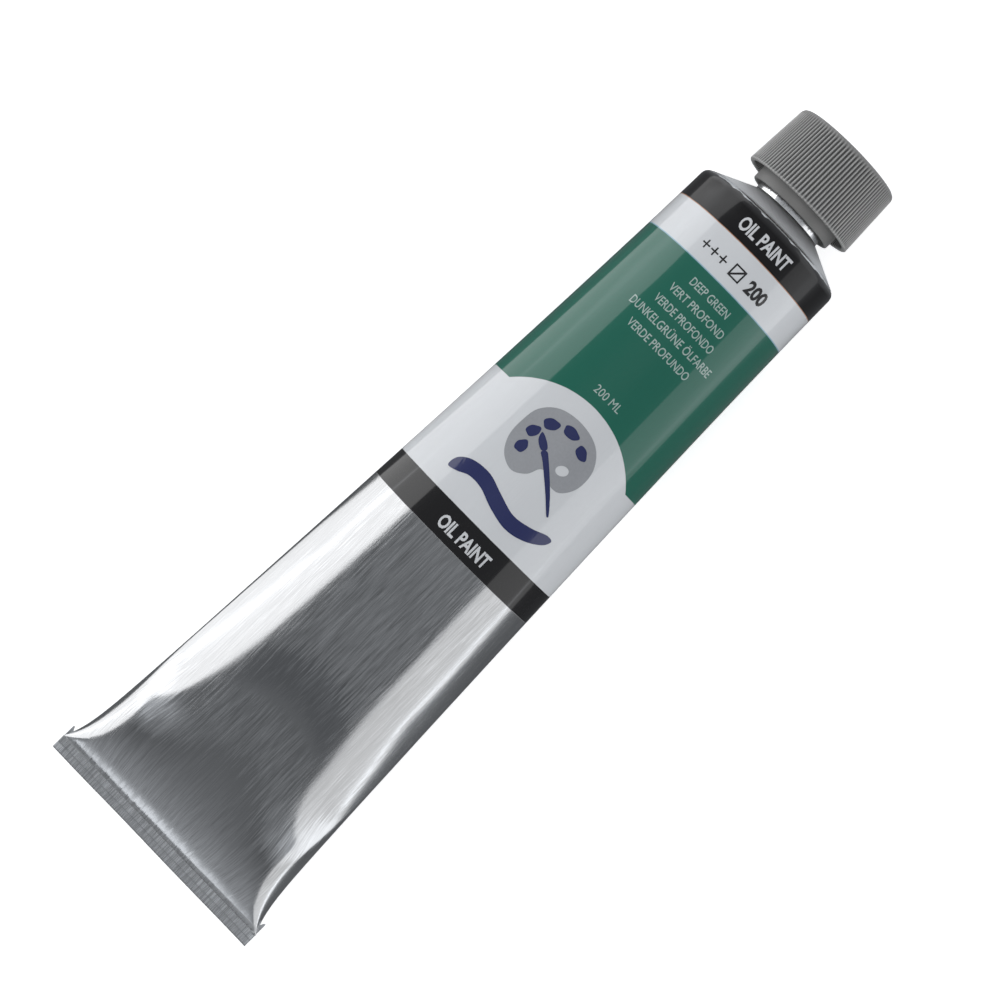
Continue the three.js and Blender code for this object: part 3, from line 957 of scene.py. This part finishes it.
def makePlainMaterial(name, base, dark, roughness, grainScale=2500.0, patchScale=120.0, bump=0.00003,
                      spread=0.1, **constants):
    # moulded, poured or printed stuff: base colour broken up by grain and patches
    material, tree, shader = newMaterial(name)
    grain = placed(tree, fineGrain, Grain_Scale=grainScale, Patch_Scale=patchScale)
    byGrain = remap(tree, grain.outputs["Grain"], 0.3, 0.7, 0.0, 0.6)
    byPatch = remap(tree, grain.outputs["Patch"], 0.3, 0.7, 0.0, 0.4)
    link(tree, mixColour(tree, plus(tree, byGrain, byPatch), dark, base), shader.inputs["Base Color"])
    rough = remap(tree, grain.outputs["Patch"], 0.3, 0.7, roughness - spread / 2, roughness + spread / 2)
    link(tree, rough, shader.inputs["Roughness"])
    link(tree, bumped(tree, grain.outputs["Height"], bump), shader.inputs["Normal"])
    for label, value in constants.items():
        shader.inputs[label.replace("_", " ")].default_value = value
    return material, tree, shader, grain


capFinish = {
    "base": (0.205, 0.203, 0.20),
    "dark": (0.185, 0.183, 0.18),
    "ridge": (0.41, 0.408, 0.40),
    # painted shade in the grooves
    "paintedGrooveShade": (0.06, 0.06, 0.058),
    "roughness": 0.42,
    # how far the rim's outer edge is painted paler
    "rimPaling": 0.5,
    "skirtFrom": 0.0133,  # only what lies further out than this is the ribbed skirt, in metres
    "rimFrom": 0.0138,
}


def makeCapMaterial():
    # the rib tops are painted paler, partly rubbed wear and partly painted highlight; the grooves are painted
    # darker as painted shade; the rim's edge is painted paler
    look = capFinish
    material, tree, shader, grain = makePlainMaterial(
        "moulded cap plastic", look["base"], look["dark"], look["roughness"], grainScale=3200.0, bump=0.00001,
        Specular_IOR_Level=0.45)
    place = addNode(tree, "ShaderNodeTexCoord").outputs["Object"]
    split = addNode(tree, "ShaderNodeSeparateXYZ")
    link(tree, place, split.inputs[0])
    x, y = split.outputs["X"], split.outputs["Y"]
    rise = minus(tree, split.outputs["Z"], axisZ)
    radius = mathNode(tree, "SQRT", plus(tree, times(tree, y, y), times(tree, rise, rise)))
    turn = mathNode(tree, "ARCTAN2", y, rise)
    ribWave = mathNode(tree, "COSINE", times(tree, turn, capForm["ribs"]))
    ribEndX = cadHigh.x - 0.0006
    rimX = tailX + (capBottomX + capForm["skirtStep"]) * mm
    onRibs = times(tree, mathNode(tree, "GREATER_THAN", radius, look["skirtFrom"]),
                   remap(tree, x, ribEndX, ribEndX - 0.0012))
    ribTopWearAndHighlight = times(tree, onRibs, remap(tree, grain.outputs["Patch"], 0.2, 0.8, 0.75, 1.0))
    colour = shader.inputs["Base Color"].links[0].from_socket
    # rib tops painted paler: rubbed wear with painted highlight
    colour = mixColour(tree, times(tree, ribTopWearAndHighlight, remap(tree, ribWave, -0.2, -1.0)), colour, look["ridge"])
    # grooves painted darker: painted shade
    colour = mixColour(tree, times(tree, onRibs, remap(tree, ribWave, -0.1, 0.7)), colour, look["paintedGrooveShade"])
    # the rim's outer edge painted paler
    onRim = times(tree, remap(tree, x, rimX + 0.0009, rimX + 0.0003),
                  mathNode(tree, "GREATER_THAN", radius, look["rimFrom"]), look["rimPaling"])
    link(tree, mixColour(tree, onRim, colour, look["ridge"]), shader.inputs["Base Color"])
    return material


inkColours = {
    "white": (0.60, 0.61, 0.63),
    "pale": (0.36, 0.46, 0.43),
    "black": (0.012, 0.011, 0.012),
    "grey": (0.30, 0.31, 0.33),
    "blue": (0.012, 0.018, 0.095),
}


def inkMaterial(colour, base):
    dark = tuple(c * 0.9 for c in base)
    return makePlainMaterial("printed " + colour, base, dark, tubeFinish["inkRoughness"], 1800.0, 90.0,
                             0.00001, 0.04, Coat_Weight=1.0, Coat_IOR=tubeFinish["coatIor"],
                             Coat_Roughness=tubeFinish["coatRoughness"], Specular_IOR_Level=0.3)[0]


def dress(thing, material, body, nodes=()):
    thing.data.materials.clear()
    thing.data.materials.append(material)
    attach(thing, body)
    if nodes:
        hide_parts(*nodes)


plainFinishes = {
    "wad foam": {"base": (0.72, 0.71, 0.67), "dark": (0.55, 0.54, 0.5), "roughness": 0.75,
                 "grainScale": 1500.0, "patchScale": 300.0, "bump": 0.00008},
    "oil paint": {"base": (0.010, 0.105, 0.065), "dark": (0.004, 0.055, 0.036), "roughness": 0.24,
                  "grainScale": 900.0, "patchScale": 150.0, "bump": 0.0002, "Coat_Weight": 0.6,
                  "Coat_Roughness": 0.12},
    "tail compound": {"base": (0.55, 0.5, 0.4), "dark": (0.42, 0.37, 0.28), "roughness": 0.55,
                      "grainScale": 1400.0, "patchScale": 200.0, "bump": 0.0001},
}
wadFoam, oilPaint, compound = (makePlainMaterial(name, **look)[0] for name, look in plainFinishes.items())
dress(tubeShell, makeTubeMaterial(), "tube", ["tube_body"])
dress(ribbedCap, makeCapMaterial(), "screw_cap", ["cap"])
dress(sealingWad, wadFoam, "cap_travel", ["cap_liner"])
dress(greenPaint, oilPaint, "tube", ["paint_fill"])
dress(tailCompound, compound, "tube", ["tail_sealant"])
for colour, thing in prints.items():
    dress(thing, inkMaterial(colour, inkColours[colour]), "tube")
print("materials made")

# Studio: pale floor, two long soft boxes beside the tube, a soft top light and a graded surround
studio = {
    "floorSize": 8.0,
    "floorColour": (0.80, 0.80, 0.80),
    "floorGlow": 0.6,
    "boxLength": 2.6,
    "leftBox": {"y": 0.6, "low": -0.36, "high": 0.395, "radiance": 1.0},
    "rightBox": {"y": -0.6, "low": -0.055, "high": 0.456, "radiance": 0.55},
    "topFill": {"place": (-0.05, 0.12, 1.3), "size": 0.9, "radiance": 3.2},
    # brightness by how far a direction leans from straight up towards the tail, in degrees
    "surround": [(-180, 0.10), (-165, 0.15), (-145, 0.5), (-120, 0.6), (-95, 0.6), (-60, 0.6),
                 (-42, 0.6), (-25, 0.42), (-15, 0.42), (-10, 0.31), (-5, 0.235), (0, 0.205), (7, 0.185),
                 (12, 0.16), (16, 0.14), (20, 0.115), (25, 0.13), (38, 0.15), (59, 0.20), (80, 0.27),
                 (90, 0.29), (95, 0.36), (97.5, 0.50), (100, 1.0), (104, 1.15), (115, 0.9), (135, 0.6),
                 (150, 0.2), (180, 0.10)],
    "surroundTint": (1.05, 0.96),  # blue and red beside green
    "paper": (0.92, 0.92, 0.92),
}


def softLight(name, width, height, radiance, placing):
    light = bpy.data.lights.new(name, "AREA")
    light.shape = "RECTANGLE"
    light.size, light.size_y = width, height
    light.energy = radiance * math.pi * width * height
    lamp = bpy.data.objects.new(name, light)
    lamp.matrix_world = placing
    lamp.visible_camera = False
    bpy.context.scene.collection.objects.link(lamp)
    return lamp


def sideBox(name, plan):
    placing = Matrix.Translation((-0.05, plan["y"], (plan["low"] + plan["high"]) / 2))
    placing = placing @ Matrix.Rotation(-math.copysign(math.pi / 2, plan["y"]), 4, "X")
    softLight(name, studio["boxLength"], plan["high"] - plan["low"], plan["radiance"], placing)


def makeWorld():
    # directions are graded from the cap's side over the top to the tail's; only the camera sees plain paper
    world = bpy.data.worlds.new("surround")
    bpy.context.scene.world = world
    world.use_nodes = True
    tree = world.node_tree
    tree.nodes.clear()
    way = addNode(tree, "ShaderNodeTexCoord").outputs["Generated"]
    split = addNode(tree, "ShaderNodeSeparateXYZ")
    link(tree, way, split.inputs[0])
    lean = mathNode(tree, "ARCTAN2", times(tree, split.outputs["X"], -1), split.outputs["Z"])
    ramp = addNode(tree, "ShaderNodeValToRGB")
    link(tree, remap(tree, lean, -math.pi, math.pi), ramp.inputs[0])
    stops = studio["surround"]
    elements = ramp.color_ramp.elements
    while len(elements) < len(stops):
        elements.new(0.5)
    cool, warm = studio["surroundTint"]
    for element, (at, value) in zip(elements, stops):
        element.position = (at + 180) / 360
        element.color = (value * warm, value, value * cool, 1)
    surround = addNode(tree, "ShaderNodeBackground")
    link(tree, ramp.outputs[0], surround.inputs[0])
    paper = addNode(tree, "ShaderNodeBackground")
    paper.inputs[0].default_value = (*studio["paper"], 1)
    path = addNode(tree, "ShaderNodeLightPath")
    chosen = addNode(tree, "ShaderNodeMixShader")
    link(tree, path.outputs["Is Camera Ray"], chosen.inputs[0])
    link(tree, surround.outputs[0], chosen.inputs[1])
    link(tree, paper.outputs[0], chosen.inputs[2])
    out = addNode(tree, "ShaderNodeOutputWorld")
    link(tree, chosen.outputs[0], out.inputs[0])


def makeStudio():
    bm = bmesh.new()
    bmesh.ops.create_grid(bm, x_segments=1, y_segments=1, size=studio["floorSize"] / 2)
    bmesh.ops.translate(bm, verts=bm.verts, vec=(0, 0, cadLow.z - 0.0005))
    mesh = bpy.data.meshes.new("studio_floor")
    bm.to_mesh(mesh)
    bm.free()
    floor = bpy.data.objects.new("studio_floor", mesh)
    bpy.context.scene.collection.objects.link(floor)
    material, tree, shader = newMaterial("floor paper")
    shader.inputs["Base Color"].default_value = (*studio["floorColour"], 1)
    shader.inputs["Roughness"].default_value = 0.9
    shader.inputs["Specular IOR Level"].default_value = 0.1
    shader.inputs["Emission Color"].default_value = (1, 1, 1, 1)
    shader.inputs["Emission Strength"].default_value = studio["floorGlow"]
    mesh.materials.append(material)
    floor.visible_glossy = False
    sideBox("left box", studio["leftBox"])
    sideBox("right box", studio["rightBox"])
    fill = studio["topFill"]
    place = Vector(fill["place"])
    facing = (-place).to_track_quat("-Z", "Y").to_matrix().to_4x4()
    placing = Matrix.Translation(place) @ facing
    lamp = softLight("top fill", fill["size"], fill["size"], fill["radiance"], placing)
    lamp.visible_glossy = False


makeStudio()
makeWorld()
print("studio made")

cameraPlan = {
    "place": (0.009, 0.0, 0.739),
    "target": (0.0002, -0.00018, 0.02),
    "lens": 117.0,
    "tubeAngle": 44.66,  # how far the tube's axis leans from level in the view, in degrees
}


def makeCamera():
    camera = bpy.data.cameras.new("camera")
    camera.lens = cameraPlan["lens"]
    camera.sensor_width = 36.0
    camera.clip_start = 0.01
    camera.clip_end = 50.0
    eye = bpy.data.objects.new("camera", camera)
    ahead = (Vector(cameraPlan["target"]) - Vector(cameraPlan["place"])).normalized()
    axis = (Vector((1, 0, 0)) - ahead * ahead.x).normalized()
    aside = ahead.cross(axis)
    lean = math.radians(cameraPlan["tubeAngle"])
    right = axis * math.cos(lean) + aside * math.sin(lean)
    up = right.cross(ahead)
    rotation = Matrix((right, up, -ahead)).transposed().to_4x4()
    eye.matrix_world = Matrix.Translation(cameraPlan["place"]) @ rotation
    bpy.context.scene.collection.objects.link(eye)
    bpy.context.scene.camera = eye


makeCamera()
bpy.context.scene.view_settings.view_transform = "Standard"
